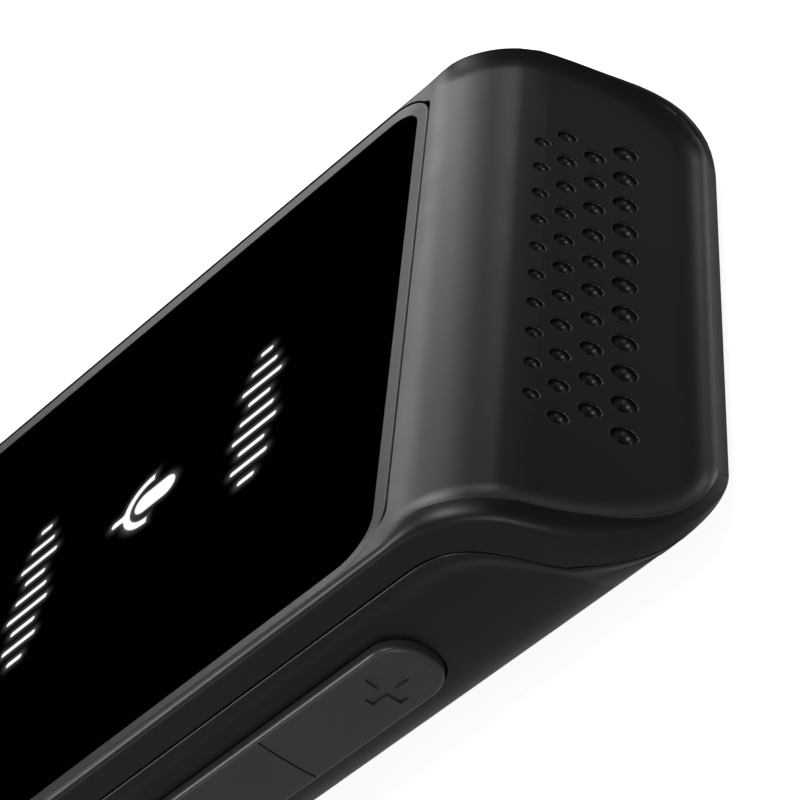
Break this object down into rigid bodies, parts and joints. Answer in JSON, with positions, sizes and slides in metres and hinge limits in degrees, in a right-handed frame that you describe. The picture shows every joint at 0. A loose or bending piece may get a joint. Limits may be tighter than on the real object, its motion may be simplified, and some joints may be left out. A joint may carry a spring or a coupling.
{
  "type": "handheld translator",
  "caption": "Slab handheld translator with a full-length touch screen, a sloped speaker head with staggered sound holes, and sprung side keys.",
  "frame": {"origin": "middle of the body's outline, on the plane of the flat back", "axes": "+X towards the side with the volume rocker, +Y along the body towards the speaker head, +Z out of the screen"},
  "size_m": [0.0578, 0.142, 0.0171],
  "materials": {
    "shell": "moulded black housing with a fine satin grain",
    "rim": "satin dark grey surround",
    "key": "satin dark grey keys",
    "glass": "opaque black printed cover glass",
    "window": "opaque black camera window",
    "display": "display module with a metal-coated back",
    "frame": "grey glass-filled nylon chassis",
    "circuit": "green circuit board",
    "shield": "plated sheet steel",
    "screw": "plated machine screw",
    "battery": "wrapped battery cell",
    "foam": "black foam and adhesive",
    "fitting": "black moulded electronic fitting",
    "mesh": "fine dark acoustic mesh",
    "ribbon": "amber flexible circuit",
    "lamp": "pale yellow lamp lens"
  },
  "bodies": {
    "body": {"front_shell": "shell", "back_shell": "shell", "screen_rim": "rim", "cover_glass": "glass", "display_panel": "display", "display_flex": "ribbon", "mid_frame": "frame", "battery": "battery", "battery_pad": "foam", "main_board": "circuit", "processor_shield": "shield", "radio_shield": "shield", "speaker_mesh": "mesh", "speaker_gasket": "foam", "speaker": "fitting", "volume_switch_board": "circuit", "side_switch_board": "circuit", "volume_down_switch": "fitting", "volume_up_switch": "fitting", "power_switch": "fitting", "talk_switch": "fitting", "camera_module": "fitting", "camera_window": "window", "flash_lamp": "lamp", "charging_port": "shield", "port_board": "circuit", "port_flex": "ribbon", "lower_microphone": "shield", "upper_microphone": "shield", "antenna_strip": "ribbon", "frame_screw_1": "screw", "frame_screw_2": "screw", "frame_screw_3": "screw", "frame_screw_4": "screw", "frame_screw_5": "screw", "board_screw_1": "screw", "board_screw_2": "screw", "board_screw_3": "screw"},
    "volume_rocker": {"volume_key": "key"},
    "power_button": {"power_key": "key"},
    "talk_button": {"talk_key": "key"}
  },
  "joints": [
    {"name": "volume_rock", "type": "hinge", "parent": "body", "child": "volume_rocker", "pos_m": [0.0252, 0.0403, 0.0089], "axis": [0, 0, 1], "range_deg": [-1.2, 1.2], "stiffness_Nm_per_rad": 0.1},
    {"name": "power_press", "type": "slide", "parent": "body", "child": "power_button", "axis": [1, 0, 0], "range_m": [0, 0.00025], "stiffness_N_per_m": 600},
    {"name": "talk_press", "type": "slide", "parent": "body", "child": "talk_button", "axis": [1, 0, 0], "range_m": [0, 0.00025], "stiffness_N_per_m": 600}
  ]
}
